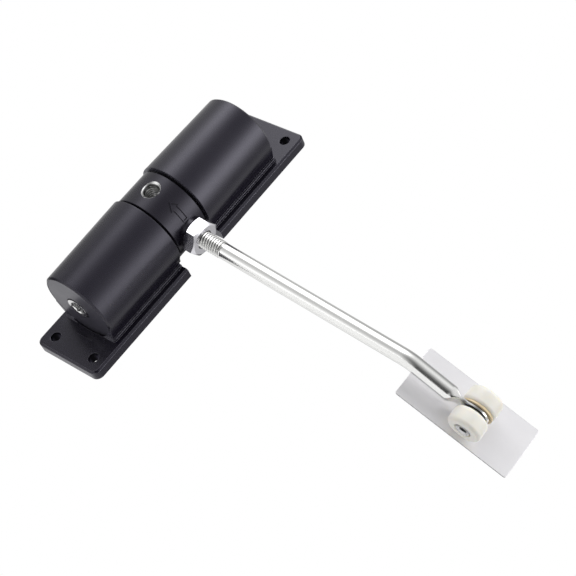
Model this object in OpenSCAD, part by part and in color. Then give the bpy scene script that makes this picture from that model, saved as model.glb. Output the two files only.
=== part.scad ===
// Surface-mounted spring door closer with a roller arm.
// The plate's back face is the plane y = 0 and -Y points out of the wall.
// Both barrels lie along Z, with the tension adjuster at the lower end, and the arm reaches towards +X.

/* [Base plate] */
// Length of the base plate along the barrels
plate_length = 148.9; // [146:0.1:160]
// Width of the base plate
plate_width = 38.6; // [37:0.1:44]
// Thickness of the base plate
plate_thickness = 5; // [4:0.1:5.5]
// Radius of the plate's corners
plate_corner_radius = 3.5; // [2:0.5:7]
// Bevel along the plate's front edges
plate_bevel = 0.9; // [0.4:0.1:1.4]
// Diameter of the four fixing holes
screw_hole_d = 4.6; // [4:0.1:5.5]
// Distance between fixing holes across the plate
screw_spacing_x = 24.6; // [22:0.1:27]
// Distance between fixing holes along the plate
screw_spacing_z = 135.8; // [132:0.1:138]

/* [Barrels] */
// Height of the barrel axis above the wall
axis_height = 19.75; // [19.5:0.05:21]
// Barrel radius beside the hub
barrel_root_radius = 19; // [18.6:0.1:19.2]
// Barrel radius at the free end
barrel_tip_radius = 18.2; // [17.9:0.1:18.6]
// Distance from the plate's middle to each barrel's free end
barrel_reach = 56.6; // [56:0.1:58]
// Radius of the spring chamber in each barrel
chamber_radius = 15.6; // [15:0.1:15.8]
// Thickness of the wall between the hub and each spring chamber
hub_wall = 5; // [4.5:0.1:5.5]
// Gap between the barrels
hub_gap = 21; // [20:0.1:21.2]
// Height of the hub's middle above the plate's middle
hub_centre = 0.1; // [0:0.05:0.8]

/* [Hub] */
// Radius of the hub
hub_radius = 17.9; // [17.5:0.1:18]
// Radius of the spindle
spindle_radius = 4.98; // [4.5:0.02:5]
// Angle between the arm's hole and the free hole
hole_spacing = 95.6; // [85:0.1:110]
// Core radius of the M8 threaded holes
thread_core_radius = 3.4; // [3.3:0.05:3.45]

/* [Arm] */
// Height of the arm's plane above the hub's middle
arm_offset = 0.55; // [0:0.05:0.6]
// Angle of the arm behind the wall plane in its free position
arm_droop = 11.6; // [8:0.1:16]
// Distance from the barrel axis to the bend
arm_straight = 134; // [120:1:150]
// Turn of the arm at the bend
arm_bend = 23.1; // [15:0.1:30]
// Distance from the bend to the roller axle
arm_end = 34; // [30:0.5:40]
// Radius of the arm's plain rod
rod_radius = 3.7; // [3.4:0.05:3.8]
// Width of the lock nut across its flats
nut_width = 15.5; // [13:0.5:16]
// Thickness of the lock nut
nut_thickness = 6.5; // [5:0.1:7]

/* [Rollers] */
// Radius of the rollers
roller_radius = 7.9; // [7:0.1:8.5]
// Width of each roller
roller_width = 7.9; // [7:0.1:9]
// Radius of the roller axle
axle_radius = 2.5; // [2:0.1:3]

/* [Wear plate] */
// Length of the wear plate
wear_length = 56.4; // [50:0.1:70]
// Width of the wear plate
wear_width = 25.4; // [22:0.1:27]
// Thickness of the steel strip
wear_thickness = 0.5; // [0.4:0.1:1]
// Thickness of the adhesive pad behind the strip
pad_thickness = 0.4; // [0.3:0.1:1]
// Tilt of the wear plate behind the wall plane
wear_tilt = 31.1; // [28:0.1:36]

/* [Hidden] */
$fn = 96;

// Colours.
black_paint = [0.13, 0.12, 0.14];
steel_colour = [0.78, 0.79, 0.80];
zinc_colour = [0.86, 0.87, 0.90];
bronze_colour = [0.66, 0.55, 0.36];
nylon_colour = [0.90, 0.89, 0.82];
spring_colour = [0.30, 0.30, 0.32];
pad_colour = [0.93, 0.93, 0.92];

// Joints and gaps.
running_gap = 0.05;
seat_gap = 0.1;
overcut = 1;

// Countersinks at the fixing holes.
screw_mouth_d = 5.2;

// Pedestal that carries the barrels on the plate.
pedestal_height = 1.3;
pedestal_width = 32.2;
pedestal_overhang = 0.7;
pedestal_length = 2 * (barrel_reach + pedestal_overhang);
pedestal_radius = 1.2;
pedestal_bevel = 0.3;
pedestal_top = plate_thickness + pedestal_height;

// Straight side walls from the pedestal up to each barrel, touching the barrel at a tangent.
wall_foot = 15.1;
wall_rise = axis_height - pedestal_top;
wall_angle = atan2(wall_rise, wall_foot) - acos(barrel_tip_radius / norm([wall_foot, wall_rise]));

// Recess for the turning hub, and the notch that lets the arm swing behind the wall plane.
hub_clearance = 0.6;
notch_width = 23.1;
notch_start = 6.9;
notch_middle = 0.35;
notch_corner = 2.5;

// End caps.
tip_bevel = 0.8;
cap_radius = 17;
cap_thickness = 4;
cap_recess = 0.05;
cap_bevel = 0.15;

// Bushes and thrust washers.
bush_radius = 10.5;
bush_flange_radius = 12.5;
bush_flange = 1;
washer_thickness = 1.15;
washer_radius = 13;

// Hub, spigots and what fixes them to the spindle.
hub_side_gap = washer_thickness + 2 * running_gap;
hub_length = hub_gap - 2 * hub_side_gap;
spigot_radius = 8.5;
spigot_past_flange = 4.2;
spigot_reach = hub_gap / 2 + hub_wall + bush_flange + spigot_past_flange;
hub_edge_bevel = 0.3;
hole_bottom = 7.5;
countersink_radius = 4.7;
arm_boss_radius = 7.7;
arm_boss_height = 0.6;
key_size = 3;
key_length = 12;
key_angle = 200;
ring_thickness = 1.1;
ring_groove_radius = 4.6;
ring_radius = 7.5;
arrow_height = 0.45;
arrow_head_angle = 51.4;
arrow_tail_angle = 15.6;
arrow_head_part = 0.36;
arrow_shaft_width = 3;
arrow_head_width = 5.6;
arrow_line = 0.5;

// Torsion springs. Each one has a straight tang at both ends, in a slot.
wire_radius = 1.6;
coil_radius = 12;
coil_turns = 7;
tang_inner_radius = 6.2;
tang_fillet = 3;
slot_width = 3.6;
slot_depth = 3.6;
wire_in_slot = 1.8;
ring_sides = 8;
rings_per_turn = 16;
fillet_rings = 3;

// Tension adjuster at the lower end and the fixed anchor at the upper end.
chamber_end = barrel_reach - cap_thickness - cap_recess;
boss_radius = 9.5;
boss_length = 4;
flange_thickness = 3.4;
adjuster_flange_radius = 14;
anchor_radius = chamber_radius - running_gap;
shank_radius = 5.85;
shank_tip_radius = 5.4;
shank_tip_length = 1.5;
shank_past_cap = 0.3;
socket_width = 6;
socket_depth = 3;
socket_bevel = 0.5;
spindle_hole_depth = 3.2;
spindle_end_gap = 0.3;
side_screw_radius = 1.5;
dog_point_radius = 0.85;
dog_point_length = 4;
side_screw_z = chamber_end - flange_thickness / 2 - seat_gap;

// Arm.
arm_start = 8;
thread_radius = 3.97;
thread_end = 35;
nut_start = hub_radius + arm_boss_height;
nut_bevel_angle = 32;
nut_face_part = 0.92;
bend_radius = 18;
bend_tangent = bend_radius * tan(arm_bend / 2);
bend_overlap = 0.2;
bend_shrink = 0.02;
tongue_thickness = 1.5;
tongue_length = 9.5;
tongue_radius = 6.3;
tongue_neck = 4.2;
tongue_shoulder = 3;

// Rollers, from the arm's middle plane outwards.
axle_washer_thickness = 0.75;
lower_washer_radius = 5.5;
upper_washer_radius = 7.4;
roller_start = tongue_thickness / 2 + axle_washer_thickness + 2 * running_gap;
roller_edge = 1.8;
edge_step = 22.5;
head_radius = 3.3;
head_thickness = 1.1;
head_recess_radius = 3.7;
head_dish = 0.6;
head_lip = 0.4;
rivet_bore_radius = 1.7;
rivet_bore_depth = 3.5;
axle_half = roller_start + roller_width + seat_gap;
roller_recess = head_thickness + running_gap - seat_gap;

// Wear plate, in the arm's plane.
wear_gap = 0.2;
wear_behind_axle = 2.6;
wear_offset = 1.3;
wear_corner = 1;

function along(angle) = [cos(angle), sin(angle), 0];
barrel_axis = [0, -axis_height, 0];
arm_plane = hub_centre + arm_offset;
bend_point = barrel_axis + arm_straight * along(arm_droop);
axle_point = bend_point + arm_end * along(arm_droop + arm_bend);

// Places children on the barrel axis at height z.
module on_barrel_axis(z = 0) {
    translate([0, -axis_height, z]) children();
}

// Places children with their X axis along a hub radius in the arm's plane, at an angle outward from +X.
module on_hub_radius(angle) {
    on_barrel_axis(arm_plane) rotate([0, 0, -angle]) children();
}

// Points a cylinder's axis along +X.
module along_x() {
    rotate([0, 90, 0]) children();
}

// Places children at the upper end of the closer, mirrored from the lower end.
module mirrored_about_hub() {
    translate([0, 0, 2 * hub_centre]) mirror([0, 0, 1]) children();
}

// Flat slab standing on z = 0 with rounded corners and a bevelled top edge.
module bevelled_slab(width, length, thick, radius, bevel) {
    module edge_profile(span) {
        half = span / 2;
        polygon([[-half, 0], [half, 0], [half, thick - bevel], [half - bevel, thick],
            [bevel - half, thick], [-half, thick - bevel]]);
    }
    rotate([90, 0, 0]) linear_extrude(length - 2 * radius, center = true) edge_profile(width);
    rotate([90, 0, 90]) linear_extrude(width - 2 * radius, center = true) edge_profile(length);
    for (x = [-1, 1], y = [-1, 1]) {
        translate([x * (width / 2 - radius), y * (length / 2 - radius), 0]) {
            cylinder(h = thick - bevel, r = radius);
            translate([0, 0, thick - bevel]) cylinder(h = bevel, r1 = radius, r2 = radius - bevel);
        }
    }
}

// Tapered barrel from height "root" to height "tip" along +Z.
module barrel_solid(root, tip) {
    rotate_extrude() polygon([[0, root], [barrel_root_radius, root], [barrel_tip_radius, tip - tip_bevel],
        [barrel_tip_radius - tip_bevel, tip], [0, tip]]);
}

// Solid between a barrel and the pedestal, from height "root" to height "tip" along +Z.
module barrel_side_walls(root, tip) {
    side = barrel_tip_radius * [cos(wall_angle), sin(wall_angle)];
    overlap = pedestal_height;
    translate([0, 0, root]) linear_extrude(tip - root) polygon([[-side[0], side[1]], [side[0], side[1]],
        [wall_foot, wall_rise], [wall_foot, wall_rise + overlap], [-wall_foot, wall_rise + overlap],
        [-wall_foot, wall_rise]]);
}

// Hollow of one barrel: bush hole, spring chamber and the end cap's seat.
module barrel_hollow(root, tip) {
    translate([0, 0, root - overcut]) cylinder(h = tip - root, r = bush_radius);
    translate([0, 0, root + hub_wall]) cylinder(h = tip - root, r = chamber_radius);
    translate([0, 0, tip - cap_thickness - cap_recess])
        cylinder(h = cap_thickness + overcut, r = cap_radius);
}

// Opening in the plate through which the arm swings.
module arm_notch() {
    depth = pedestal_top;
    span = plate_width;
    translate([notch_start, -depth - overcut, notch_middle]) {
        translate([notch_corner, 0, -notch_width / 2]) cube([span, depth + 2 * overcut, notch_width]);
        translate([0, 0, notch_corner - notch_width / 2])
            cube([span, depth + 2 * overcut, notch_width - 2 * notch_corner]);
        for (side = [-1, 1]) {
            translate([notch_corner, 0, side * (notch_width / 2 - notch_corner)])
                rotate([-90, 0, 0]) cylinder(h = depth + 2 * overcut, r = notch_corner);
        }
    }
}

module body_casting() {
    color(black_paint) difference() {
        union() {
            rotate([90, 0, 0]) bevelled_slab(plate_width, plate_length, plate_thickness,
                plate_corner_radius, plate_bevel);
            rotate([90, 0, 0]) bevelled_slab(pedestal_width, pedestal_length,
                pedestal_top, pedestal_radius, pedestal_bevel);
            on_barrel_axis() {
                barrel_solid(hub_gap / 2 + hub_centre, barrel_reach);
                barrel_side_walls(hub_gap / 2 + hub_centre, barrel_reach);
            }
            on_barrel_axis() mirror([0, 0, 1]) {
                barrel_solid(hub_gap / 2 - hub_centre, barrel_reach);
                barrel_side_walls(hub_gap / 2 - hub_centre, barrel_reach);
            }
        }
        on_barrel_axis() barrel_hollow(hub_gap / 2 + hub_centre, barrel_reach);
        on_barrel_axis() mirror([0, 0, 1]) barrel_hollow(hub_gap / 2 - hub_centre, barrel_reach);
        on_barrel_axis(hub_centre) cylinder(h = hub_gap, r = hub_radius + hub_clearance, center = true);
        arm_notch();
        for (x = [-1, 1], z = [-1, 1]) {
            translate([x * screw_spacing_x / 2, 0, z * screw_spacing_z / 2]) rotate([90, 0, 0]) {
                translate([0, 0, -overcut]) cylinder(h = plate_thickness + 2 * overcut, d = screw_hole_d);
                translate([0, 0, plate_thickness - (screw_mouth_d - screw_hole_d) / 2])
                    cylinder(h = screw_mouth_d, d1 = screw_hole_d, d2 = screw_hole_d + 2 * screw_mouth_d);
            }
        }
        for (z = [-side_screw_z, side_screw_z]) {
            on_barrel_axis(z) mirror([1, 0, 0]) rod_between(0, 2 * barrel_root_radius, side_screw_radius);
        }
    }
}

// Round cap that closes a barrel's free end, with its outer face downwards.
module cap_solid() {
    top = cap_thickness;
    translate([0, 0, -chamber_end - top]) rotate_extrude() polygon([[0, 0], [cap_radius - cap_bevel, 0],
        [cap_radius, cap_bevel], [cap_radius, top], [0, top]]);
}

module lower_end_cap() {
    color(black_paint) on_barrel_axis() difference() {
        cap_solid();
        translate([0, 0, -barrel_reach - overcut])
            cylinder(h = cap_thickness + 2 * overcut, r = shank_radius + running_gap);
    }
}

module upper_end_cap() {
    color(black_paint) on_barrel_axis() mirror([0, 0, 1]) cap_solid();
}

// Flanged bush in the lower barrel's inner wall.
module bush_solid() {
    face = hub_centre - hub_gap / 2;
    on_barrel_axis() difference() {
        union() {
            translate([0, 0, face - hub_wall]) cylinder(h = hub_wall, r = bush_radius);
            translate([0, 0, face - hub_wall - bush_flange])
                cylinder(h = bush_flange, r = bush_flange_radius);
        }
        translate([0, 0, face - 2 * hub_wall]) cylinder(h = 3 * hub_wall, r = spigot_radius + running_gap);
    }
}

module lower_bush() {
    color(bronze_colour) bush_solid();
}

module upper_bush() {
    color(bronze_colour) mirrored_about_hub() bush_solid();
}

// Thin ring between the lower barrel and the hub.
module thrust_washer_solid() {
    on_barrel_axis(hub_centre - hub_gap / 2) difference() {
        cylinder(h = washer_thickness, r = washer_radius);
        translate([0, 0, -overcut])
            cylinder(h = 2 * overcut + washer_thickness, r = spigot_radius + seat_gap);
    }
}

module lower_thrust_washer() {
    color(spring_colour) thrust_washer_solid();
}

module upper_thrust_washer() {
    color(spring_colour) mirrored_about_hub() thrust_washer_solid();
}

// Radial slot for a spring tang, cut from z = 0 downwards, from the centre out along +X.
module tang_slot() {
    translate([0, -slot_width / 2, -slot_depth]) cube([2 * boss_radius, slot_width, slot_depth + overcut]);
}

// Boss and flange that hold a spring's outer tang, with the flange's face at z = 0.
module spring_seat(flange_radius) {
    difference() {
        union() {
            cylinder(h = flange_thickness, r = flange_radius);
            cylinder(h = flange_thickness + boss_length, r = boss_radius);
        }
        translate([0, 0, flange_thickness + boss_length]) tang_slot();
        translate([0, 0, flange_thickness + boss_length - spindle_hole_depth])
            cylinder(h = spindle_hole_depth + overcut, r = spindle_radius + running_gap);
    }
}

module upper_spring_anchor() {
    color(zinc_colour) on_barrel_axis(chamber_end - seat_gap) mirror([0, 0, 1]) difference() {
        spring_seat(anchor_radius);
        translate([0, 0, flange_thickness / 2]) mirror([1, 0, 0]) along_x()
            cylinder(h = 2 * anchor_radius, r = dog_point_radius + running_gap);
    }
}

// Body of a set screw in a barrel's wall, from a distance off the barrel axis to just under the surface.
module side_screw_thread(start) {
    cylinder(h = barrel_tip_radius - seat_gap - start, r = side_screw_radius - running_gap);
}

module side_screw_socket() {
    translate([0, 0, barrel_tip_radius - side_screw_radius])
        cylinder(h = side_screw_radius, r = side_screw_radius / 2, $fn = 6);
}

// Set screw through the upper barrel's wall, whose dog point stops the spring anchor from turning.
module anchor_screw() {
    color(steel_colour) on_barrel_axis(side_screw_z) mirror([1, 0, 0]) along_x() difference() {
        union() {
            translate([0, 0, anchor_radius + seat_gap]) side_screw_thread(anchor_radius + seat_gap);
            translate([0, 0, anchor_radius - dog_point_length])
                cylinder(h = dog_point_length + 2 * seat_gap, r = dog_point_radius);
        }
        side_screw_socket();
    }
}

// Set screw through the lower barrel's wall that clamps the tension adjuster's flange.
module lock_screw() {
    start = adjuster_flange_radius + seat_gap;
    color(steel_colour) on_barrel_axis(-side_screw_z) mirror([1, 0, 0]) along_x() difference() {
        translate([0, 0, start]) side_screw_thread(start);
        side_screw_socket();
    }
}

// Outline of the direction arrow: x runs round the hub from tail to head, y along the barrel axis.
module arrow_outline(length) {
    neck = length * (1 - arrow_head_part);
    half = arrow_shaft_width / 2;
    inner = half - arrow_line;
    tip_inner = length - 2 * arrow_line;
    difference() {
        polygon([[0, -half], [neck, -half], [neck, -arrow_head_width / 2], [length, 0],
            [neck, arrow_head_width / 2], [neck, half], [0, half]]);
        polygon([[arrow_line, -inner], [neck + arrow_line, -inner],
            [neck + arrow_line, 1.6 * arrow_line - arrow_head_width / 2], [tip_inner, 0],
            [neck + arrow_line, arrow_head_width / 2 - 1.6 * arrow_line], [neck + arrow_line, inner],
            [arrow_line, inner]]);
    }
}

// Raised direction arrow on the hub, bounded by a cylinder just outside the hub.
module hub_arrow() {
    length = hub_radius * (arrow_head_angle - arrow_tail_angle) * PI / 180;
    middle = (arrow_head_angle + arrow_tail_angle) / 2;
    intersection() {
        on_barrel_axis(hub_centre) difference() {
            cylinder(h = hub_length, r = hub_radius + arrow_height, center = true);
            cylinder(h = 2 * hub_length, r = hub_radius - arrow_height, center = true);
        }
        on_hub_radius(middle) translate([0, length / 2, 0]) rotate([90, 0, 90])
            linear_extrude(2 * hub_radius) rotate(180) arrow_outline(length);
    }
}

// Threaded hole in the hub, with its mouth at the hub's surface.
module hub_hole(angle) {
    on_hub_radius(angle) along_x() {
        translate([0, 0, hole_bottom]) cylinder(h = hub_radius, r = thread_core_radius);
        translate([0, 0, hub_radius - countersink_radius + thread_core_radius])
            cylinder(h = 2 * (countersink_radius - thread_core_radius), r1 = thread_core_radius,
                r2 = 2 * countersink_radius - thread_core_radius);
    }
}

module hub_key_solid(size) {
    on_hub_radius(key_angle) translate([spindle_radius - size / 2, -size / 2, -key_length / 2])
        cube([size, size, key_length]);
}

module hub() {
    half = hub_length / 2;
    color(black_paint) {
        difference() {
            union() {
                on_barrel_axis(hub_centre) rotate_extrude() polygon([
                    [0, -spigot_reach], [spigot_radius, -spigot_reach], [spigot_radius, -half],
                    [hub_radius - hub_edge_bevel, -half], [hub_radius, hub_edge_bevel - half],
                    [hub_radius, half - hub_edge_bevel], [hub_radius - hub_edge_bevel, half],
                    [spigot_radius, half], [spigot_radius, spigot_reach], [0, spigot_reach]]);
                on_hub_radius(-arm_droop) rod_between(hub_radius / 2, nut_start, arm_boss_radius);
            }
            on_barrel_axis(hub_centre)
                cylinder(h = 3 * spigot_reach, r = spindle_radius + running_gap, center = true);
            hub_key_solid(key_size + 2 * running_gap);
            hub_hole(hole_spacing - arm_droop);
            on_hub_radius(-arm_droop) rod_between(hole_bottom, nut_start + overcut, thread_core_radius);
            on_barrel_axis(hub_centre + spigot_reach) tang_slot();
            on_barrel_axis(hub_centre - spigot_reach) mirror([0, 0, 1]) tang_slot();
        }
        hub_arrow();
    }
}

module spindle() {
    reach = chamber_end - seat_gap - flange_thickness - boss_length + spindle_hole_depth - spindle_end_gap;
    groove = spigot_reach + seat_gap;
    color(steel_colour) difference() {
        on_barrel_axis() cylinder(h = 2 * reach, r = spindle_radius, center = true);
        hub_key_solid(key_size + 2 * running_gap);
        for (side = [-1, 1]) {
            on_barrel_axis(hub_centre + side * (groove + ring_thickness / 2)) difference() {
                cylinder(h = ring_thickness + running_gap, r = 2 * spindle_radius, center = true);
                cylinder(h = 2 * ring_thickness, r = ring_groove_radius, center = true);
            }
        }
    }
}

module hub_key() {
    color(steel_colour) hub_key_solid(key_size);
}

module retaining_rings() {
    groove = spigot_reach + seat_gap + ring_thickness / 2;
    color(spring_colour) for (side = [-1, 1]) {
        on_barrel_axis(hub_centre + side * groove) difference() {
            cylinder(h = ring_thickness, r = ring_radius, center = true);
            cylinder(h = 2 * ring_thickness, r = ring_groove_radius + running_gap, center = true);
            translate([0, -ring_groove_radius / 2, -ring_thickness])
                cube([2 * ring_radius, ring_groove_radius, 2 * ring_thickness]);
        }
    }
}

// Round rod of the given radius along +X, from one distance to another.
module rod_between(start, end, radius) {
    translate([start, 0, 0]) along_x() cylinder(h = end - start, r = radius);
}

// Flat of the tongue, widening from the rod to the round end about the axle.
module tongue_outline(round_end) {
    start = round_end - tongue_shoulder;
    polygon([[start, -rod_radius], [round_end, -tongue_neck], [arm_end, -tongue_radius],
        [arm_end, tongue_radius], [round_end, tongue_neck], [start, rod_radius]]);
}

module arm_rod() {
    bend_start = arm_straight - bend_tangent;
    round_end = arm_end - tongue_length;
    color(steel_colour) {
        on_hub_radius(-arm_droop) {
            rod_between(arm_start, nut_start + nut_thickness, thread_core_radius - running_gap / 2);
            rod_between(nut_start + nut_thickness, thread_end, thread_radius);
            rod_between(thread_end, bend_start + bend_overlap, rod_radius);
            translate([bend_start, bend_radius, 0]) rotate([0, 0, -90])
                rotate_extrude(angle = arm_bend)
                    translate([bend_radius, 0]) circle(r = rod_radius - bend_shrink);
        }
        translate([bend_point[0], bend_point[1], arm_plane]) rotate([0, 0, arm_droop + arm_bend])
            difference() {
                union() {
                    rod_between(bend_tangent - bend_overlap, round_end, rod_radius);
                    linear_extrude(tongue_thickness, center = true) tongue_outline(round_end);
                    translate([arm_end, 0, 0])
                        cylinder(h = tongue_thickness, r = tongue_radius, center = true);
                }
                translate([arm_end, 0, 0])
                    cylinder(h = 2 * tongue_thickness, r = axle_radius + running_gap, center = true);
            }
    }
}

module lock_nut() {
    corner = nut_width / 2 / cos(30);
    face = nut_face_part * nut_width / 2;
    bevel = (corner - face) * tan(nut_bevel_angle);
    color(zinc_colour) on_hub_radius(-arm_droop) translate([nut_start, 0, 0]) along_x() difference() {
        intersection() {
            cylinder(h = nut_thickness, r = corner, $fn = 6);
            rotate_extrude() polygon([[0, 0], [face, 0], [corner, bevel],
                [corner, nut_thickness - bevel], [face, nut_thickness], [0, nut_thickness]]);
        }
        translate([0, 0, -overcut]) cylinder(h = nut_thickness + 2 * overcut, r = thread_core_radius);
        translate([0, 0, nut_thickness - thread_radius + thread_core_radius])
            cylinder(h = overcut, r1 = thread_core_radius, r2 = thread_core_radius + overcut);
    }
}

// Places children on the roller axle, in the arm's middle plane.
module on_axle() {
    translate([axle_point[0], axle_point[1], arm_plane]) children();
}

// Rivet that carries the rollers, with a dished and drilled head at each end.
module roller_axle() {
    dish_radius = head_radius - head_lip;
    dish_far = 2 * dish_radius - rivet_bore_radius;
    color(steel_colour) on_axle() difference() {
        union() {
            cylinder(h = 2 * axle_half, r = axle_radius, center = true);
            for (side = [0, 1]) {
                mirror([0, 0, side]) translate([0, 0, axle_half - head_thickness])
                    cylinder(h = head_thickness, r = head_radius);
            }
        }
        for (side = [0, 1]) {
            mirror([0, 0, side]) {
                translate([0, 0, axle_half - head_dish])
                    cylinder(h = 2 * head_dish, r1 = rivet_bore_radius, r2 = dish_far);
                translate([0, 0, axle_half - rivet_bore_depth])
                    cylinder(h = rivet_bore_depth, r = rivet_bore_radius);
            }
        }
    }
}

// Washer between the tongue and the upper roller.
module axle_washer_solid(radius) {
    translate([0, 0, tongue_thickness / 2 + running_gap]) difference() {
        cylinder(h = axle_washer_thickness, r = radius);
        translate([0, 0, -overcut]) cylinder(h = 3 * overcut, r = axle_radius + running_gap);
    }
}

module lower_axle_washer() {
    color(spring_colour) on_axle() mirror([0, 0, 1]) axle_washer_solid(lower_washer_radius);
}

module upper_axle_washer() {
    color(bronze_colour) on_axle() axle_washer_solid(upper_washer_radius);
}

// Roller above the tongue, with rounded edges and a recess for the rivet head in its outer face.
module roller_solid() {
    far = roller_width;
    rounding = [roller_radius - roller_edge, roller_edge];
    near_edge = [for (a = [-90:edge_step:0]) rounding + roller_edge * [cos(a), sin(a)]];
    far_edge = [for (p = near_edge) [p[0], far - p[1]]];
    far_edge_outwards = [for (i = [len(far_edge) - 1:-1:0]) far_edge[i]];
    translate([0, 0, roller_start]) rotate_extrude() polygon(concat(
        [[axle_radius + running_gap, 0]], near_edge, far_edge_outwards,
        [[head_recess_radius, far], [head_recess_radius, far - roller_recess],
        [axle_radius + running_gap, far - roller_recess]]));
}

module lower_roller() {
    color(nylon_colour) on_axle() mirror([0, 0, 1]) roller_solid();
}

module upper_roller() {
    color(nylon_colour) on_axle() roller_solid();
}

// Spring seat turned by a hex key in the shank's end.
module tension_adjuster() {
    face = -chamber_end + seat_gap;
    shank_end = -barrel_reach - shank_past_cap;
    color(zinc_colour) on_barrel_axis() difference() {
        union() {
            translate([0, 0, face]) spring_seat(adjuster_flange_radius);
            translate([0, 0, shank_end]) cylinder(h = face - shank_end, r = shank_tip_radius);
            translate([0, 0, shank_end + shank_tip_length])
                cylinder(h = face - shank_end - shank_tip_length, r = shank_radius);
        }
        translate([0, 0, shank_end - overcut])
            cylinder(h = socket_depth + overcut, d = socket_width / cos(30), $fn = 6);
        translate([0, 0, shank_end - overcut]) cylinder(h = overcut + socket_bevel,
            r1 = socket_width / 2 + socket_bevel + overcut, r2 = socket_width / 2);
    }
}

// Centre line of a torsion spring along +Z: tang, fillet, coils, fillet, tang.
function coil_point(angle, height) = [coil_radius * cos(angle), coil_radius * sin(angle), height];
function turned_point(p, angle, height) =
    [p[0] * cos(angle) - p[1] * sin(angle), p[0] * sin(angle) + p[1] * cos(angle), height];
fillet_start = coil_radius - tang_fillet;
fillet_angle = asin(tang_fillet / coil_radius);
fillet_points = [for (i = [0:fillet_rings - 1]) let (a = 90 * i / fillet_rings)
    [fillet_start + tang_fillet * sin(a), tang_fillet * (1 - cos(a))]];
function spring_path(length) = concat(
    [[tang_inner_radius, 0, 0]],
    [for (p = fillet_points) turned_point(p, 0, 0)],
    [for (i = [0:coil_turns * rings_per_turn]) let (t = i / (coil_turns * rings_per_turn))
        coil_point(fillet_angle + t * (coil_turns * 360 - 2 * fillet_angle), t * length)],
    [for (i = [fillet_rings - 1:-1:0])
        let (p = fillet_points[i]) turned_point([p[0], -p[1]], coil_turns * 360, length)],
    [turned_point([tang_inner_radius, 0], coil_turns * 360, length)]);

// Tube of the spring wire swept along a list of points.
module swept_wire(path) {
    count = len(path);
    points = [for (i = [0:count - 1])
        let (ahead = path[min(i + 1, count - 1)] - path[max(i - 1, 0)],
            forward = ahead / norm(ahead),
            side_raw = cross(forward, [0, 0, 1]),
            side = side_raw / norm(side_raw),
            up = cross(side, forward))
        for (k = [0:ring_sides - 1])
            path[i] + wire_radius * (side * cos(360 * k / ring_sides) + up * sin(360 * k / ring_sides))];
    walls = [for (i = [0:count - 2], k = [0:ring_sides - 1])
        let (a = i * ring_sides, next = (k + 1) % ring_sides)
        [a + k, a + next, a + ring_sides + next, a + ring_sides + k]];
    start_face = [for (k = [ring_sides - 1:-1:0]) k];
    end_face = [for (k = [0:ring_sides - 1]) (count - 1) * ring_sides + k];
    polyhedron(points, concat([start_face], walls, [end_face]), convexity = 20);
}

// Spring from the hub's lower spigot down to the tension adjuster.
module lower_spring() {
    top = hub_centre - spigot_reach + wire_in_slot;
    bottom = -chamber_end + seat_gap + flange_thickness + boss_length - wire_in_slot;
    color(spring_colour) on_barrel_axis(top) mirror([0, 0, 1]) swept_wire(spring_path(top - bottom));
}

// Spring from the hub's upper spigot up to the fixed anchor.
module upper_spring() {
    bottom = hub_centre + spigot_reach - wire_in_slot;
    top = chamber_end - seat_gap - flange_thickness - boss_length + wire_in_slot;
    color(spring_colour) on_barrel_axis(bottom) swept_wire(spring_path(top - bottom));
}

// Places children on the wear plate's face: X along the plate, Y away from the rollers.
module on_wear_face() {
    on_axle() rotate([0, 0, wear_tilt])
        translate([-wear_behind_axle, roller_radius + wear_gap, wear_offset]) children();
}

// Flat strip with rounded corners, from one depth behind the wear face to another.
module wear_sheet(length, width, depth, thick) {
    translate([0, depth + thick, 0]) rotate([90, 0, 0])
        bevelled_slab(length, width, thick, wear_corner, thick / 4);
}

module wear_plate() {
    color(zinc_colour) on_wear_face() wear_sheet(wear_length, wear_width, 0, wear_thickness);
}

module adhesive_pad() {
    margin = 1;
    color(pad_colour) on_wear_face() wear_sheet(wear_length - margin, wear_width - margin,
        wear_thickness, pad_thickness);
}

body_casting();
lower_end_cap();
upper_end_cap();
lower_bush();
upper_bush();
lower_thrust_washer();
upper_thrust_washer();
upper_spring_anchor();
anchor_screw();
lock_screw();
hub();
spindle();
hub_key();
retaining_rings();
arm_rod();
lock_nut();
roller_axle();
lower_axle_washer();
upper_axle_washer();
lower_spring();
upper_spring();
tension_adjuster();
lower_roller();
upper_roller();
wear_plate();
adhesive_pad();
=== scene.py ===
from math import asin, ceil, cos, exp, pi, radians, sin, sqrt, tan

import bmesh
import bpy
from mathutils import Matrix, Vector


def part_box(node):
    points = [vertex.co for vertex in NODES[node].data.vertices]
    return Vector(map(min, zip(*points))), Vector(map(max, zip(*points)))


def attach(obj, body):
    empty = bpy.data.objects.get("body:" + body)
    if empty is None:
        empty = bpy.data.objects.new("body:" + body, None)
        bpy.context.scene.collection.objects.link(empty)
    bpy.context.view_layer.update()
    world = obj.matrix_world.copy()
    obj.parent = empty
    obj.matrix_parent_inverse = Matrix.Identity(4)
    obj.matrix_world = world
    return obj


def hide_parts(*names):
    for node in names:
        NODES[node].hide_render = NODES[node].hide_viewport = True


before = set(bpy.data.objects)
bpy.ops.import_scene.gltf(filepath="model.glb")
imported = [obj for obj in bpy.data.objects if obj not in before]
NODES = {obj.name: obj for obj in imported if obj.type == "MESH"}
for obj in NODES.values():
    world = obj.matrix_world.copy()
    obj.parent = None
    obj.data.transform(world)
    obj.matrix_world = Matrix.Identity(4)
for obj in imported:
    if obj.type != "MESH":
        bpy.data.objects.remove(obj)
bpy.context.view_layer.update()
MM = 0.001
AXIS_X = Vector((1.0, 0.0, 0.0))
AXIS_Y = Vector((0.0, 1.0, 0.0))
AXIS_Z = Vector((0.0, 0.0, 1.0))


# ---------------------------------------------------------------------------
# Places, in millimetres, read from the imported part.
# ---------------------------------------------------------------------------
def node_box(name):
    """Lowest and highest corner of a CAD node."""
    low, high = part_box(name)
    return low / MM, high / MM


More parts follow.
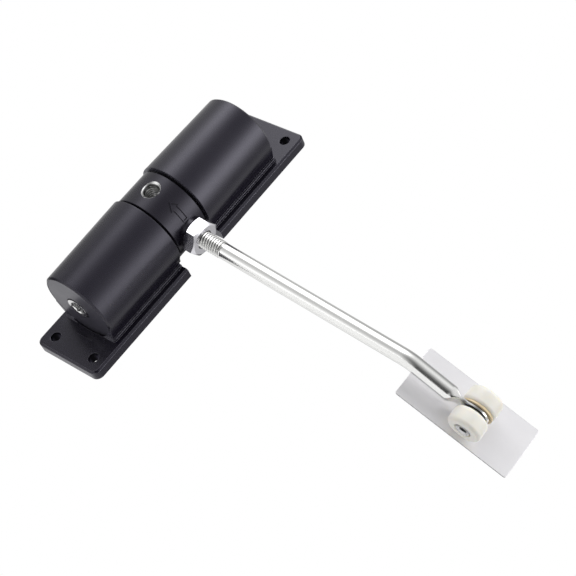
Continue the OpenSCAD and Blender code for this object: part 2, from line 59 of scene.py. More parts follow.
def node_centre(name):
    """Middle of a CAD node's box."""
    low, high = node_box(name)
    return (low + high) / 2


def along(angle):
    """Unit vector in the arm's plane, turned from +X towards +Y."""
    return Vector((cos(angle), sin(angle), 0.0))


def square_to(direction):
    """Unit vector in the arm's plane, a quarter turn from a direction."""
    return Vector((-direction.y, direction.x, 0.0))


adjuster_centre = node_centre("tension_adjuster")
AXLE = node_centre("roller_axle")
HUB_CENTRE = Vector((adjuster_centre.x, adjuster_centre.y, AXLE.z))


# ---------------------------------------------------------------------------
# Sizes, in millimetres. The wall is at Y = 0, and the barrels stand towards -Y.
# ---------------------------------------------------------------------------
# Casting: its screw holes, painted dark inside as shade, and the distances from the wall between which edge
# wear, partly a painted highlight, drops.
SCREW_X = 12.3
SCREW_Z = 67.9
SCREW_RADIUS = 2.5
WEAR_AND_HIGHLIGHT_DROP_FROM = 7.0
WEAR_AND_HIGHLIGHT_DROP_TO = 8.0

# Free hole in the hub.
HUB_RADIUS = 17.9
HOLE_ANGLE = radians(84)
HOLE_START = 8.0
HOLE_RADIUS = 3.4
HOLE_CREST = 2.98
HOLE_MOUTH = 4.7
CONE_FROM = HUB_RADIUS - HOLE_MOUTH + HOLE_RADIUS
SKIN_GAP = 0.01
SKIN_DEPTH = 0.05

# Arm. Distances along it start at the barrels' axis.
ARM_DROOP = radians(11.6)
ARM_BEND = radians(23.1)
ARM_START = 8.0
ARM_STRAIGHT = 134.0
BEND_RADIUS = 18.0
ROD_RADIUS = 3.7
BEND_POINT = HUB_CENTRE + ARM_STRAIGHT * along(ARM_DROOP)
END_ANGLE = ARM_DROOP + ARM_BEND
BEND_TANGENT = BEND_RADIUS * tan(ARM_BEND / 2)
BEND_FROM = ARM_STRAIGHT - BEND_TANGENT
BEND_TO = BEND_FROM + BEND_RADIUS * ARM_BEND
AXLE_AT = BEND_TO - BEND_TANGENT + (AXLE - BEND_POINT).length

# Thread on the arm. The hub's thread has the same pitch.
THREAD_RADIUS = 3.97
THREAD_CORE = 3.28
THREAD_PITCH = 1.25
THREAD_FROM = 20.0
THREAD_TO = 35.8
THREAD_FLAT = 0.14
THREAD_RUNOUT = 1.2
THREAD_STEPS = 12

# Tongue between the rollers.
TONGUE_RADIUS = 6.3
TONGUE_HALF = 0.75
TONGUE_LENGTH = 9.5
TONGUE_NECK = 3.5
TONGUE_SQUARENESS = 8.0
SHOULDER_AT = AXLE_AT - TONGUE_LENGTH
FLATTEN_BEFORE = 4.5
FLATTEN_AFTER = 1.0
WIDEN_AFTER = 0.5
FLAT_FROM = SHOULDER_AT - FLATTEN_BEFORE

# Lock nut.
NUT_FROM = 18.5
NUT_THICKNESS = 6.5
NUT_WIDTH = 15.5
NUT_FACE_PART = 0.92
NUT_BORE = 3.35
NUT_MOUTH = 4.6
NUT_CHAMFER = radians(32)

# Rollers.
ROLLER_BORE = 2.55
ROLLER_EDGE = 1.8
RECESS_RADIUS = 3.7
RECESS_DEPTH = 1.05
RECESS_BEVEL = 0.3

# Springs.
WIRE_RADIUS = 1.6
COIL_RADIUS = 12.0
COIL_TURNS = 7
TANG_END = 6.2
TANG_FILLET = 3.0

# Wear plate.
WEAR_TILT = radians(31.1)


# ---------------------------------------------------------------------------
# Mesh tools.
# ---------------------------------------------------------------------------
def limit(value):
    """A value kept between 0 and 1."""
    return min(max(value, 0.0), 1.0)


def smooth_step(value):
    """Soft change from 0 to 1."""
    value = limit(value)
    return value * value * (3.0 - 2.0 * value)


def spread(start, end, count):
    """Evenly spaced values from start to end, both included."""
    return [start + (end - start) * i / count for i in range(count + 1)]


def ring_points(sides, side, up, centre_at, radius_at, first=0.0):
    """Points round a centre. Centre and radius may depend on the angle."""
    points = []
    for k in range(sides):
        angle = 2 * pi * k / sides + first
        points.append(centre_at(angle) + radius_at(angle) * (cos(angle) * side + sin(angle) * up))
    return points


def skin(rings, loop=False):
    """New mesh with faces between rings of points. Its ends are closed, or joined in a loop."""
    bm = bmesh.new()
    made = [[bm.verts.new(point) for point in ring] for ring in rings]
    pairs = list(zip(made, made[1:]))
    if loop:
        pairs.append((made[-1], made[0]))
    for lower, upper in pairs:
        count = len(lower)
        for i in range(count):
            j = (i + 1) % count
            bm.faces.new((lower[i], lower[j], upper[j], upper[i]))
    if not loop:
        bm.faces.new(list(reversed(made[0])))
        bm.faces.new(made[-1])
    return bm


def finish_piece(name, mesh_data, body, material, replaces=(), sharp=35):
    """Links a mesh made in millimetres as a piece that rides on a body."""
    mesh = bpy.data.meshes.new(name)
    mesh_data.transform(Matrix.Scale(MM, 4))
    bmesh.ops.recalc_face_normals(mesh_data, faces=mesh_data.faces)
    mesh_data.to_mesh(mesh)
    mesh_data.free()
    mesh.polygons.foreach_set("use_smooth", [True] * len(mesh.polygons))
    mesh.set_sharp_from_angle(angle=radians(sharp))
    mesh.materials.append(material)
    piece = bpy.data.objects.new(name, mesh)
    bpy.context.scene.collection.objects.link(piece)
    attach(piece, body)
    if replaces:
        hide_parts(*replaces)


# ---------------------------------------------------------------------------
# Shader tools.
# ---------------------------------------------------------------------------
class Nodes:
    """Small helper that adds nodes to a tree and links them."""

    def __init__(self, tree):
        self.tree = tree
        tree.nodes.clear()

    def add(self, kind, inputs=None, **settings):
        """New node. Each input is linked to a socket, or set to a plain value."""
        node = self.tree.nodes.new(kind)
        for key, value in settings.items():
            setattr(node, key, value)
        for key, value in (inputs or {}).items():
            if isinstance(value, bpy.types.NodeSocket):
                self.tree.links.new(value, node.inputs[key])
            else:
                node.inputs[key].default_value = value
        return node

    def math(self, operation, first, second=0.0, clamp=False):
        node = self.add("ShaderNodeMath", {0: first, 1: second}, operation=operation, use_clamp=clamp)
        return node.outputs[0]

    def vector(self, operation, first, second=(0.0, 0.0, 0.0)):
        """Vector operation. Dot products and lengths give a number, and the others a vector."""
        node = self.add("ShaderNodeVectorMath", {0: first, 1: second}, operation=operation)
        return node.outputs["Value" if operation in ("DOT_PRODUCT", "LENGTH") else "Vector"]

    def coordinate(self, vector, letter):
        return self.add("ShaderNodeSeparateXYZ", {0: vector}).outputs[letter]

    def remap(self, value, low, high, to_low=0.0, to_high=1.0):
        """Linear change of a value's range, which stops at both ends."""
        node = self.add("ShaderNodeMapRange", {
            "Value": value, "From Min": low, "From Max": high, "To Min": to_low, "To Max": to_high})
        return node.outputs[0]

    def noise(self, vector, scale, detail, roughness):
        node = self.add("ShaderNodeTexNoise", {
            "Vector": vector, "Scale": scale, "Detail": detail, "Roughness": roughness})
        return node.outputs["Fac"]

    def blend(self, factor, first, second):
        """Colour between two others. A colour mix has them at inputs 6 and 7, and its result at output 2."""
        node = self.add("ShaderNodeMix", {0: factor, 6: first, 7: second}, data_type="RGBA")
        return node.outputs[2]


def grey(level, tint=(1.0, 1.0, 1.0)):
    """Grey colour with full alpha, multiplied by a tint."""
    return (level * tint[0], level * tint[1], level * tint[2], 1.0)


# ---------------------------------------------------------------------------
# Masks: each gives 1 where its mark shows, fading to 0 elsewhere.
# ---------------------------------------------------------------------------
def ends_mask(n, normal, low, high):
    """Faces that look along +Z or -Z."""
    return n.remap(n.math("ABSOLUTE", n.coordinate(normal, "Z")), low, high)


def plate_wear_and_highlight_mask(n, position, elsewhere):
    """Plate and pedestal, where the casting's edge wear is also a painted highlight, with a value of its own
    on the barrels instead of 0.
    """
    height = n.coordinate(position, "Y")
    return n.remap(height, -WEAR_AND_HIGHLIGHT_DROP_TO * MM, -WEAR_AND_HIGHLIGHT_DROP_FROM * MM, elsewhere, 1.0)


def ring_shade_mask(n, position, axis, fade_in, fade_out):
    """Painted shade in a ring round an axis through the hub, as far out as the end of the arm's thread."""
    end_fade = 1.0
    offset = n.vector("SUBTRACT", position, HUB_CENTRE * MM)
    distance = n.vector("LENGTH", n.vector("CROSS_PRODUCT", offset, axis))
    reach = n.vector("DOT_PRODUCT", offset, axis)
    near = n.remap(reach, THREAD_TO * MM, (THREAD_TO + end_fade) * MM, 1.0, 0.0)
    inner = n.remap(distance, fade_in[0] * MM, fade_in[1] * MM)
    outer = n.remap(distance, fade_out[0] * MM, fade_out[1] * MM, 1.0, 0.0)
    return n.math("MULTIPLY", n.math("MULTIPLY", inner, outer, clamp=True), near)


def screw_hole_shade_mask(n, position):
    """Inside of the four screw holes, which are painted dark as shade."""
    fade = 0.05
    across = n.math("SUBTRACT", n.math("ABSOLUTE", n.coordinate(position, "X")), SCREW_X * MM)
    upward = n.math("SUBTRACT", n.math("ABSOLUTE", n.coordinate(position, "Z")), SCREW_Z * MM)
    squares = n.math("ADD", n.math("POWER", across, 2.0), n.math("POWER", upward, 2.0))
    return n.remap(n.math("SQRT", squares), SCREW_RADIUS * MM, (SCREW_RADIUS - fade) * MM)


def tongue_shade_mask(n, position):
    """Edge of the tongue away from the wear plate, from the neck to just past the axle, painted darker as
    shade.
    """
    neck_fade = (-8.5, -7.0)
    tip_fade = (1.0, 3.0)
    edge_fade = (-2.4, -3.0)
    direction = along(END_ANGLE)
    offset = n.vector("SUBTRACT", position, AXLE * MM)
    beside = n.vector("DOT_PRODUCT", offset, square_to(direction))
    reach = n.vector("DOT_PRODUCT", offset, direction)
    from_neck = n.remap(reach, neck_fade[0] * MM, neck_fade[1] * MM)
    to_tip = n.remap(reach, tip_fade[0] * MM, tip_fade[1] * MM, 1.0, 0.0)
    on_edge = n.remap(beside, edge_fade[0] * MM, edge_fade[1] * MM)
    return n.math("MULTIPLY", n.math("MULTIPLY", from_neck, to_tip), on_edge, clamp=True)


# ---------------------------------------------------------------------------
# Materials.
# ---------------------------------------------------------------------------
# Painted shade inside the screw holes.
HOLE_SHADE = grey(0.002)
# Painted shade along the tongue's edge.
TONGUE_SHADE = grey(0.3)
# Painted shade on the wear plate's long edges.
STRIP_EDGE_SHADE = grey(0.12)


def surface(name, base, varied, worn, rough, metallic=0.0, stretch=(1.0, 1.0, 1.0), turn=0.0,
            grain_scale=3000.0, grain_depth=0.01, cloud_scale=90.0, edge_radius=0.2,
            wear=0.5, barrel_wear_and_highlight=1.0, specular=0.5, gloss_tint=None, scatter=0.0,
            lit_end_faces=None, ring_shade=None, shaded_holes=False, shaded_tongue=False, shaded_strip_edges=False):
    """Procedural finish: cloudy colour, uneven roughness, grain in the bump and worn edges.

    Scales are per metre, and depths and radii in millimetres. Barrel wear is the part of the edge wear
    that shows on the barrels; on the casting, this edge wear is partly a painted highlight. The end-face
    colour is a lighter paint for faces that look along the barrels' axis: painted light. The painted shade
    in a ring is given as an axis through the hub, the distances from it over which the shade fades in and
    out, and its colour. The screw holes can be painted dark inside as shade, one edge of the tongue can get
    painted shade, and the long edges of the wear plate can be painted dark as shade.
    """
    material = bpy.data.materials.new(name)
    material.use_nodes = True
    n = Nodes(material.node_tree)
    position = n.add("ShaderNodeTexCoord").outputs["Object"]
    flat = n.add("ShaderNodeNewGeometry").outputs["Normal"]
    rounded = n.add("ShaderNodeBevel", {"Radius": edge_radius * MM}, samples=6).outputs[0]
    placed = n.add("ShaderNodeMapping", {
        "Vector": position, "Rotation": (0.0, 0.0, -turn), "Scale": stretch}).outputs[0]
    cloud = n.noise(placed, cloud_scale, detail=4.0, roughness=0.6)
    grain = n.noise(placed, grain_scale, detail=3.0, roughness=0.6)
    patches = n.noise(position, 700.0, detail=3.0, roughness=0.7)

    edge = n.remap(n.vector("DOT_PRODUCT", rounded, flat), 1.0, 0.9, 0.0, wear)
    edge_wear = n.math("MULTIPLY", edge, n.remap(patches, 0.4, 0.7, 0.3, 1.0), clamp=True)
    # On the casting, the strong light edge wear on the plate's and pedestal's edges is partly wear and
    # partly a painted highlight.
    if barrel_wear_and_highlight < 1.0:
        edge_wear = n.math("MULTIPLY", edge_wear, plate_wear_and_highlight_mask(n, position, barrel_wear_and_highlight))

    colour = n.blend(n.remap(cloud, 0.3, 0.7), base, varied)
    # Faces that look along the barrels get a lighter paint: painted light on the end faces.
    if lit_end_faces:
        colour = n.blend(ends_mask(n, flat, 0.85, 0.95), colour, lit_end_faces)
    colour = n.blend(edge_wear, colour, worn)
    # Painted shade in thread roots and round bores, in a ring round an axis.
    if ring_shade:
        axis, fade_in, fade_out, ring_shade_colour = ring_shade
        colour = n.blend(ring_shade_mask(n, position, axis, fade_in, fade_out), colour, ring_shade_colour)
    # The screw holes' walls are painted near black and made metallic, so they show neither lit paint nor a
    # bright reflection: painted shade.
    if shaded_holes:
        inside = screw_hole_shade_mask(n, position)
        colour = n.blend(inside, colour, HOLE_SHADE)
        metallic = n.math("MAXIMUM", inside, metallic)
    # Painted shade along one edge of the tongue, away from the wear plate.
    if shaded_tongue:
        colour = n.blend(tongue_shade_mask(n, position), colour, TONGUE_SHADE)
    # The wear plate's long edges are painted dark as shade.
    if shaded_strip_edges:
        colour = n.blend(ends_mask(n, flat, 0.6, 0.8), colour, STRIP_EDGE_SHADE)

    uneven = n.remap(cloud, 0.3, 0.7, rough[0], rough[1])
    roughness = n.math("ADD", uneven, n.remap(grain, 0.3, 0.7, -0.03, 0.03), clamp=True)
    bump = n.add("ShaderNodeBump", {
        "Height": grain, "Strength": 1.0, "Distance": grain_depth * MM, "Normal": rounded}).outputs[0]
    shader = n.add("ShaderNodeBsdfPrincipled", {
        "Base Color": colour, "Metallic": metallic, "Roughness": roughness, "Normal": bump})
    shader.inputs["Specular IOR Level"].default_value = specular
    if gloss_tint:
        shader.inputs["Specular Tint"].default_value = gloss_tint
    if scatter:
        shader.inputs["Subsurface Weight"].default_value = scatter
        shader.inputs["Subsurface Radius"].default_value = (1.6 * MM, 1.4 * MM, 1.0 * MM)
        shader.inputs["Subsurface Scale"].default_value = 1.0
    n.add("ShaderNodeOutputMaterial", {"Surface": shader.outputs[0]})
    return material


# Black paint, with a violet tint in its gloss.
PAINT_TINT = (0.877, 0.855, 1.0)
PAINT = {"gloss_tint": grey(1.0, PAINT_TINT), "grain_scale": 2600.0}
# Lighter copy of the black paint for the end caps and the casting's end faces: painted light on faces that
# look along the barrels.
LIT_END_PAINT = (0.044, 0.042, 0.056, 1.0)

# Casting: lighter paint on its end faces is painted light, and its screw holes are painted dark as shade.
# Its strong light edge wear on the plate and pedestal is partly wear and partly a painted highlight.
paint_casting = surface(
    "black_casting", (0.004, 0.003, 0.008, 1.0), (0.006, 0.005, 0.010, 1.0), grey(0.3, PAINT_TINT),
    (0.24, 0.29), grain_depth=0.005, edge_radius=0.35, wear=1.0, barrel_wear_and_highlight=0.3, specular=0.54,
    lit_end_faces=LIT_END_PAINT, shaded_holes=True, **PAINT)
# End caps in the lighter paint: painted light on the end faces.
lit_cap_paint = surface(
    "black_cap", LIT_END_PAINT, (0.050, 0.048, 0.062, 1.0), grey(0.05, PAINT_TINT),
    (0.29, 0.35), grain_depth=0.005, edge_radius=0.15, wear=0.3, specular=0.54, **PAINT)
paint_hub = surface(
    "black_hub", (0.003, 0.002, 0.006, 1.0), (0.005, 0.004, 0.008, 1.0), grey(0.05),
    (0.24, 0.30), grain_depth=0.006, edge_radius=0.12, wear=0.4, specular=0.44, **PAINT)

# Metals.
ZINC_TINT = (0.99, 0.98, 1.03)
ROD_TINT = (1.0, 1.0, 0.985)
STRIP_TINT = (0.995, 0.985, 1.01)

bronze = surface(
    "bronze", (0.72, 0.58, 0.36, 1.0), (0.78, 0.64, 0.42, 1.0), (0.84, 0.74, 0.54, 1.0),
    (0.45, 0.6), metallic=0.2, grain_depth=0.004)
# Zinc plate, with painted shade in the lock nut's bore and countersink.
zinc = surface(
    "zinc_plate", grey(0.78, ZINC_TINT), grey(0.84, ZINC_TINT), grey(0.9),
    (0.16, 0.24), metallic=1.0, grain_scale=1800.0, grain_depth=0.004, edge_radius=0.15,
    ring_shade=(along(ARM_DROOP), (0.0, 0.1), (4.2, 4.7), grey(0.05)))
dark_steel = surface(
    "dark_steel", grey(0.08), grey(0.12), grey(0.3),
    (0.35, 0.5), metallic=1.0)
# Bright steel, with painted shade in the roots and mouth of the hub hole's thread.
bright_steel = surface(
    "bright_steel", grey(0.74), grey(0.82), grey(0.9),
    (0.26, 0.34), metallic=1.0, grain_depth=0.003, edge_radius=0.12,
    ring_shade=(along(-HOLE_ANGLE), (3.08, 3.34), (3.7, 3.9), grey(0.08)))
rivet_steel = surface(
    "rivet_steel", grey(0.50), grey(0.58), grey(0.8),
    (0.14, 0.22), metallic=1.0, grain_depth=0.003, edge_radius=0.15)
spring_steel = surface(
    "spring_steel", grey(0.10), grey(0.15), grey(0.3),
    (0.35, 0.5), metallic=1.0)
# Polished rod, with painted shade in its thread roots.
polished = surface(
    "polished_rod", grey(0.84, ROD_TINT), grey(0.90, ROD_TINT), grey(0.9),
    (0.15, 0.21), metallic=1.0, stretch=(0.03, 1.0, 1.0), turn=ARM_DROOP,
    # painted shade along one edge of the tongue
    grain_scale=5000.0, grain_depth=0.0012, edge_radius=0.12, shaded_tongue=True,
    ring_shade=(along(ARM_DROOP), (0.0, 0.1), (3.28, 3.5), grey(0.12)))
chrome = surface(
    "chrome_adjuster", grey(0.80), grey(0.86), grey(0.9),
    (0.16, 0.24), metallic=1.0, grain_depth=0.003, edge_radius=0.2)
# Wear strip, with its long edges painted dark as shade.
strip = surface(
    "wear_strip", grey(0.94, STRIP_TINT), grey(0.97, STRIP_TINT), grey(0.7),
    (0.36, 0.44), metallic=0.7, stretch=(0.04, 1.0, 1.0), turn=WEAR_TILT,
    grain_scale=5000.0, grain_depth=0.003, edge_radius=0.1, shaded_strip_edges=True)

# Plastic and foam.
nylon = surface(
    "nylon", (0.86, 0.84, 0.77, 1.0), (0.89, 0.87, 0.81, 1.0), (0.90, 0.89, 0.85, 1.0),
    (0.32, 0.45), grain_depth=0.004, edge_radius=0.6, scatter=0.6)
foam = surface(
    "foam_pad", grey(0.75), grey(0.82), grey(0.85),
    (0.75, 0.9), grain_scale=1500.0, grain_depth=0.05, edge_radius=0.1)

FINISHES = {
    "body_casting": paint_casting,
    "lower_end_cap": lit_cap_paint,
    "upper_end_cap": lit_cap_paint,
    "lower_bush": bronze,
    "upper_bush": bronze,
    "lower_thrust_washer": dark_steel,
    "upper_thrust_washer": dark_steel,
    "upper_spring_anchor": zinc,
    "anchor_screw": dark_steel,
    "lock_screw": dark_steel,
    "hub": paint_hub,
    "spindle": bright_steel,
    "hub_key": bright_steel,
    "retaining_rings": spring_steel,
    "arm_rod": polished,
    "lock_nut": zinc,
    "roller_axle": rivet_steel,
    # The lower axle washer is dark steel, unlike the bronze upper one, so the gap between the tongue and the
    # lower roller shows dark: painted shade.
    "lower_axle_washer": dark_steel,
    "upper_axle_washer": bronze,
    "lower_spring": spring_steel,
    "upper_spring": spring_steel,
    "tension_adjuster": chrome,
    "lower_roller": nylon,
    "upper_roller": nylon,
    "wear_plate": strip,
    "adhesive_pad": foam,
}
for node_name, finish in FINISHES.items():
    node_mesh = NODES[node_name].data
    node_mesh.materials.clear()
    node_mesh.materials.append(finish)


# ---------------------------------------------------------------------------
# Arm: one smooth bar with a rolled thread at the hub and a flat tongue at the rollers.
# ---------------------------------------------------------------------------
def thread_wave(distance, angle):
    """Height on a thread's flank, 0 in the groove and 1 on the crest."""
    turn = (distance / THREAD_PITCH - angle / (2 * pi)) % 1.0
    return 1.0 - abs(2.0 * turn - 1.0)


def thread_height(distance, angle):
    """Radius of the rolled thread, which runs out into the plain rod."""
    wave = limit((thread_wave(distance, angle) - THREAD_FLAT) / (1.0 - 2 * THREAD_FLAT))
    fade = limit((THREAD_TO - distance) / (THREAD_RUNOUT * THREAD_PITCH))
    thread = THREAD_CORE + (THREAD_RADIUS - THREAD_CORE) * wave
    return ROD_RADIUS + (thread - ROD_RADIUS) * fade


def tongue_shape(distance):
    """Flatness, half width and half thickness of the tongue."""
    smallest_square = 0.02
    past_shoulder = distance - SHOULDER_AT
    past_axle = distance - AXLE_AT
    flatness = smooth_step((past_shoulder + FLATTEN_BEFORE) / (FLATTEN_BEFORE + FLATTEN_AFTER))
    widening = smooth_step((past_shoulder - WIDEN_AFTER) / (TONGUE_LENGTH - WIDEN_AFTER))
    neck = ROD_RADIUS + (TONGUE_NECK - ROD_RADIUS) * flatness
    half_width = neck + (TONGUE_RADIUS - neck) * widening
    if past_axle > 0.0:
        half_width = sqrt(max(TONGUE_RADIUS ** 2 - past_axle ** 2, smallest_square))
    return flatness, half_width, ROD_RADIUS + (TONGUE_HALF - ROD_RADIUS) * flatness


def flat_section(angle, flatness, half_width, half_height):
    """Radius at an angle of a section that goes from round to a flat bar."""
    power = 2.0 + TONGUE_SQUARENESS * flatness
    across = abs(cos(angle)) / half_width
    upward = abs(sin(angle)) / half_height
    return (across ** power + upward ** power) ** (-1.0 / power)


def arm_radius(distance, angle):
    """Radius of the arm at a distance along it and an angle round it."""
    if distance < THREAD_FROM:
        return THREAD_CORE
    if distance <= THREAD_TO:
        return thread_height(distance, angle)
    if distance > FLAT_FROM:
        flatness, half_width, half_height = tongue_shape(distance)
        return flat_section(angle, flatness, half_width, half_height)
    return ROD_RADIUS


def arm_frame(distance):
    """Point on the arm's centre line and the line's direction there."""
    start_direction = along(ARM_DROOP)
    if distance <= BEND_FROM:
        return HUB_CENTRE + distance * start_direction, start_direction
    if distance >= BEND_TO:
        past_bend_point = distance - BEND_TO + BEND_TANGENT
        return BEND_POINT + past_bend_point * along(END_ANGLE), along(END_ANGLE)
    direction = along(ARM_DROOP + (distance - BEND_FROM) / BEND_RADIUS)
    bend_centre = HUB_CENTRE + BEND_FROM * start_direction + BEND_RADIUS * square_to(start_direction)
    return bend_centre - BEND_RADIUS * square_to(direction), direction


def arm_stations():
    """Distances along the arm at which its section is drawn."""
    join = 0.2
    thread_join = 0.4
    bend_join = 1.0
    straight_sections = [60.0, 90.0]
    thread_count = ceil((THREAD_TO - THREAD_FROM) / THREAD_PITCH * THREAD_STEPS)
    tip_angles = [radians(5 * i) for i in range(1, 18)]
    stations = [ARM_START, THREAD_FROM - join]
    stations += spread(THREAD_FROM, THREAD_TO, thread_count)
    stations += [THREAD_TO + thread_join] + straight_sections + [BEND_FROM - bend_join]
    stations += spread(BEND_FROM, BEND_TO, 16)
    stations += [BEND_TO + bend_join, FLAT_FROM - join]
    stations += spread(FLAT_FROM, AXLE_AT, 40)
    stations += [AXLE_AT + TONGUE_RADIUS * sin(angle) for angle in tip_angles]
    return stations


def build_arm():
    rings = []
    for distance in arm_stations():
        centre, forward = arm_frame(distance)
        rings.append(ring_points(72, square_to(forward), AXIS_Z, lambda a: centre,
                                 lambda a: arm_radius(distance, a)))
    finish_piece("arm_bar", skin(rings), "arm", polished, ["arm_rod"], sharp=40)


build_arm()


# ---------------------------------------------------------------------------
# Lock nut: hexagon with turned chamfers on both faces and a countersunk mouth.
# ---------------------------------------------------------------------------
def build_nut():
    axis = along(ARM_DROOP)
    flat_half = NUT_WIDTH / 2
    face_radius = flat_half * NUT_FACE_PART
    corner_angle = pi / 6

    def hexagon(angle):
        return flat_half / cos((angle + corner_angle) % (2 * corner_angle) - corner_angle)

    def chamfer(angle):
        return (hexagon(angle) - face_radius) * tan(NUT_CHAMFER)

    def nut_ring(radius_at, depth_at):
        return ring_points(144, square_to(axis), AXIS_Z,
                           lambda a: HUB_CENTRE + (NUT_FROM + depth_at(a)) * axis, radius_at, corner_angle)

    rings = [
        nut_ring(lambda a: NUT_BORE, lambda a: 0.0),
        nut_ring(lambda a: face_radius, lambda a: 0.0),
        nut_ring(hexagon, chamfer),
        nut_ring(hexagon, lambda a: NUT_THICKNESS - chamfer(a)),
        nut_ring(lambda a: face_radius, lambda a: NUT_THICKNESS),
        nut_ring(lambda a: NUT_MOUTH, lambda a: NUT_THICKNESS),
        nut_ring(lambda a: NUT_BORE, lambda a: NUT_THICKNESS - (NUT_MOUTH - NUT_BORE)),
    ]
    finish_piece("hex_nut", skin(rings, loop=True), "arm", zinc, ["lock_nut"], sharp=20)


build_nut()


# ---------------------------------------------------------------------------
# Bare thread and countersink: a thin lining in the hub's free hole.
# ---------------------------------------------------------------------------
def rim_distance(angle):
    """Distance from the barrels' axis at which the countersink meets the round hub."""
    distance = HUB_RADIUS
    for _ in range(20):
        radius = distance - HUB_RADIUS + HOLE_MOUTH
        distance = sqrt(HUB_RADIUS ** 2 - (radius * cos(angle)) ** 2)
    return distance


def hole_thread_radius(distance, angle):
    """Radius of the hole's thread, which fades out at the countersink."""
    root = HOLE_RADIUS - SKIN_GAP - SKIN_DEPTH
    fade = limit((CONE_FROM - distance) / THREAD_PITCH)
    return root - (root - HOLE_CREST) * thread_wave(distance, angle) * fade


def build_hole_thread():
    axis = along(-HOLE_ANGLE)
    cone_steps = 4

    def hole_ring(distance_at, radius_at):
        return ring_points(96, square_to(axis), AXIS_Z, lambda a: HUB_CENTRE + distance_at(a) * axis,
                           lambda a: radius_at(distance_at(a), a))

    def cone_ring(part, inset):
        return hole_ring(lambda a: CONE_FROM + (rim_distance(a) - CONE_FROM) * part,
                         lambda d, a: max(d - CONE_FROM, 0.0) + HOLE_RADIUS - inset)

    thread_count = ceil((CONE_FROM - HOLE_START) / THREAD_PITCH * THREAD_STEPS)
    rings = [hole_ring(lambda a: station, hole_thread_radius)
             for station in spread(HOLE_START, CONE_FROM, thread_count)]
    rings += [cone_ring(i / cone_steps, SKIN_GAP + SKIN_DEPTH) for i in range(1, cone_steps + 1)]
    rings += [cone_ring(i / cone_steps, SKIN_GAP) for i in range(cone_steps, -1, -1)]
    rings.append(hole_ring(lambda a: HOLE_START, lambda d, a: HOLE_RADIUS - SKIN_GAP))
    finish_piece("hole_thread", skin(rings, loop=True), "arm", bright_steel, sharp=40)


build_hole_thread()


# ---------------------------------------------------------------------------
# Rollers turned with full round edges and a recess for the rivet's head.
# ---------------------------------------------------------------------------
def quarter_circle(distance, height, radius, first):
    """Distances and heights of a quarter circle, from a first angle in degrees."""
    steps = 12
    angles = [radians(first + 90 * i / steps) for i in range(steps + 1)]
    return [(distance + radius * cos(angle), height + radius * sin(angle)) for angle in angles]


def build_roller(name, node, body, side):
    low, high = node_box(node)
    radius = (high.x - low.x) / 2
    width = high.z - low.z
    inner = low.z if side > 0 else high.z
    profile = [(ROLLER_BORE, 0.0)]
    profile += quarter_circle(radius - ROLLER_EDGE, ROLLER_EDGE, ROLLER_EDGE, -90)
    profile += quarter_circle(radius - ROLLER_EDGE, width - ROLLER_EDGE, ROLLER_EDGE, 0)
    profile += [
        (RECESS_RADIUS + RECESS_BEVEL, width),
        (RECESS_RADIUS, width - RECESS_BEVEL),
        (RECESS_RADIUS, width - RECESS_DEPTH),
        (ROLLER_BORE, width - RECESS_DEPTH),
    ]
    rings = []
    for distance, height in profile:
        centre = Vector((AXLE.x, AXLE.y, inner + side * height))
        rings.append(ring_points(96, AXIS_X, AXIS_Y, lambda a: centre, lambda a: distance))
    finish_piece(name, skin(rings, loop=True), body, nylon, [node], sharp=40)


build_roller("lower_wheel", "lower_roller", "lower_roller_body", -1)
build_roller("upper_wheel", "upper_roller", "upper_roller_body", 1)


# ---------------------------------------------------------------------------
# Torsion springs of round wire.
# ---------------------------------------------------------------------------
def tang_bend(part, side, height):
    """Point on the fillet between a straight tang and the coil."""
    turned = pi / 2 * part
    across = COIL_RADIUS - TANG_FILLET + TANG_FILLET * sin(turned)
    return Vector((across, side * TANG_FILLET * (1 - cos(turned)), height))


def spring_path(start, length):
    """Centre line of the wire, round the barrels' axis."""
    bend_steps = 8
    coil_steps = 48 * COIL_TURNS
    lean = asin(TANG_FILLET / COIL_RADIUS)
    end = start + length
    path = [Vector((TANG_END, 0.0, start))]
    path += [tang_bend(i / bend_steps, 1, start) for i in range(bend_steps)]
    for part in spread(0.0, 1.0, coil_steps):
        turned = lean + part * (COIL_TURNS * 2 * pi - 2 * lean)
        path.append(COIL_RADIUS * along(turned) + (start + part * length) * AXIS_Z)
    path += [tang_bend(i / bend_steps, -1, end) for i in range(bend_steps - 1, -1, -1)]
    path.append(Vector((TANG_END, 0.0, end)))
    return path


def build_spring(name, node, upward):
    low, high = node_box(node)
    direction = 1 if upward else -1
    start = low.z + WIRE_RADIUS if upward else high.z - WIRE_RADIUS
    path = spring_path(start, direction * (high.z - low.z - 2 * WIRE_RADIUS))
    axis_foot = Vector((HUB_CENTRE.x, HUB_CENTRE.y, 0.0))
    last = len(path) - 1
    rings = []
    for i, point in enumerate(path):
        forward = (path[min(i + 1, last)] - path[max(i - 1, 0)]).normalized()
        side = forward.cross(AXIS_Z).normalized()
        rings.append(ring_points(20, side, side.cross(forward), lambda a: axis_foot + point,
                                 lambda a: WIRE_RADIUS))
    finish_piece(name, skin(rings), "arm", spring_steel, [node])


build_spring("lower_coil", "lower_spring", False)
build_spring("upper_coil", "upper_spring", True)


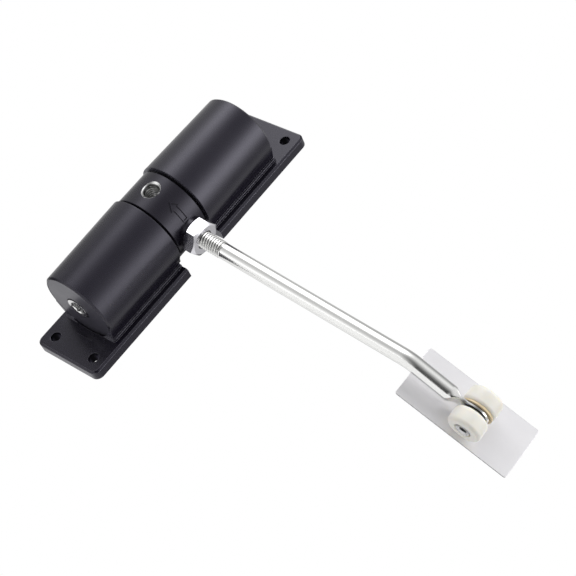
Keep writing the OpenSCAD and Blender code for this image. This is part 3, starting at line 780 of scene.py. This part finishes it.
# ---------------------------------------------------------------------------
# Studio: white surroundings with soft lights and dark areas, and a pale floor.
# ---------------------------------------------------------------------------
LOBES = [
    # Direction, narrowness and strength. Lights have a positive strength, and dark areas a negative one.
    ((-0.35, -0.75, 0.57), 20.0, 4.2),     # streak on the barrels' left
    ((0.86, -0.02, 0.52), 18.0, 3.8),      # streak on the barrels' right
    ((-0.33, -0.43, -0.84), 15.0, 0.7),    # glow from below
    ((0.69, -0.13, -0.71), 4.0, -1.2),     # dark below on the right
    ((0.32, -0.94, -0.13), 5.0, -0.63),    # dark in front, seen in the wear plate
    ((-0.09, 0.11, 0.99), 5.0, -0.7),      # dark overhead
    ((-0.58, -0.81, 0.13), 25.0, -1.17),   # dark in front on the left, seen in the plate's front
    ((-0.97, -0.02, -0.23), 7.0, -1.1),    # dark on the left
    ((-0.18, 0.94, 0.28), 12.0, -1.2),     # dark behind the wall
    ((0.68, 0.68, 0.27), 14.0, -0.55),     # dark behind on the right, seen in the plate's long side
]
DARKEST = 0.02


def build_world():
    """World whose light depends on direction, while the camera sees plain white."""
    world = bpy.data.worlds.new("studio")
    bpy.context.scene.world = world
    world.use_nodes = True
    n = Nodes(world.node_tree)
    direction = n.add("ShaderNodeTexCoord").outputs["Generated"]
    total = 1.0
    for aim, narrowness, strength in LOBES:
        facing = n.vector("DOT_PRODUCT", direction, Vector(aim).normalized())
        fall = n.math("MULTIPLY", n.math("SUBTRACT", facing, 1.0), narrowness)
        lobe = n.math("MULTIPLY", n.math("POWER", exp(1.0), fall), strength)
        total = n.math("ADD", total, lobe)
    seen = n.add("ShaderNodeLightPath").outputs["Is Camera Ray"]
    level = n.math("MAXIMUM", n.math("MAXIMUM", total, DARKEST), seen)
    background = n.add("ShaderNodeBackground", {"Color": grey(1.0), "Strength": level})
    n.add("ShaderNodeOutputWorld", {"Surface": background.outputs[0]})


def build_floor():
    """Round pale floor below the closer, in metres."""
    radius = 0.3
    place = (0.05, 0.0, -0.42)
    disc = bmesh.new()
    bmesh.ops.create_circle(disc, cap_ends=True, segments=96, radius=radius)
    floor_mesh = bpy.data.meshes.new("floor")
    disc.to_mesh(floor_mesh)
    disc.free()
    floor_mesh.materials.append(surface(
        "floor_finish", grey(0.93), grey(0.96), grey(0.96),
        (0.6, 0.7), grain_scale=800.0, grain_depth=0.02, cloud_scale=6.0, wear=0.0))
    made = bpy.data.objects.new("floor", floor_mesh)
    made.location = place
    bpy.context.scene.collection.objects.link(made)
    return made


build_world()
bpy.context.scene.view_settings.view_transform = "Standard"
floor = build_floor()


# ---------------------------------------------------------------------------
# Camera at the photo's viewing angle, in metres.
# ---------------------------------------------------------------------------
CAMERA_PLACE = Vector((0.44563, -0.49244, -0.22448))
CAMERA_FORWARD = Vector((-0.57428, 0.74290, 0.34379)).normalized()
CAMERA_TOP = Vector((-0.34785, -0.60172, 0.71899))
LENS = 96.77
SENSOR_WIDTH = 36.0
CLIP_START = 0.01
CLIP_END = 20.0


def build_camera():
    right = CAMERA_FORWARD.cross(CAMERA_TOP).normalized()
    top = right.cross(CAMERA_FORWARD)
    turned = Matrix((right, top, -CAMERA_FORWARD)).transposed().to_4x4()
    data = bpy.data.cameras.new("camera")
    data.sensor_width = SENSOR_WIDTH
    data.lens = LENS
    data.clip_start = CLIP_START
    data.clip_end = CLIP_END
    made = bpy.data.objects.new("camera", data)
    made.matrix_world = Matrix.Translation(CAMERA_PLACE) @ turned
    bpy.context.scene.collection.objects.link(made)
    return made


bpy.context.scene.camera = build_camera()
